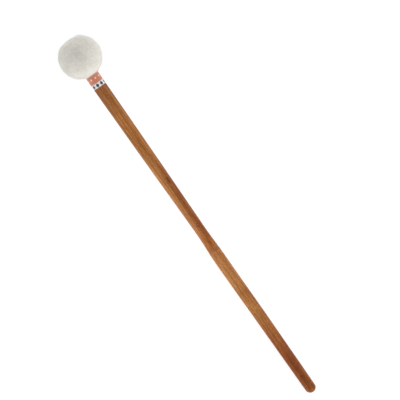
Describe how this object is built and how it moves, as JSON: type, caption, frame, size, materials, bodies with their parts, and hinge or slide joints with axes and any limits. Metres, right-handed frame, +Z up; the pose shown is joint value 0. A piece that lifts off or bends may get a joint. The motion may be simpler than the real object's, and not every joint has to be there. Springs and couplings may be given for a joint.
{
  "type": "timpani mallet",
  "caption": "Timpani mallet with a ground and lacquered bamboo shaft, a round butt, a printed sleeve and a soft white felt ball over a turned wooden core.",
  "frame": {"origin": "middle of the underside of the bounding box, on the plane that the mallet lies on", "axes": "+X from the butt to the head, +Z up from the plane that the mallet lies on, +Y to the left as seen from the butt"},
  "size_m": [0.3808, 0.0392, 0.0387],
  "materials": {
    "bamboo": "clear gloss lacquer over ground bamboo",
    "plug_wood": "lacquered end grain",
    "dowel_wood": "bare turned hardwood",
    "core_wood": "bare turned hardwood",
    "hard_felt": "dense pressed wool felt",
    "white_felt": "thick soft wool felt with a raised nap",
    "cotton_thread": "twisted cotton",
    "label_paper": "printed, lacquered over"
  },
  "bodies": {
    "root": {"bamboo_shaft": "bamboo", "butt_plug": "plug_wood", "head_dowel": "dowel_wood", "core": "core_wood", "rear_felt_disc": "hard_felt", "front_felt_disc": "hard_felt", "inner_felt_wrap": "hard_felt", "felt_cover": "white_felt", "neck_thread": "cotton_thread", "crown_thread": "cotton_thread", "name_label": "label_paper"}
  },
  "joints": []
}
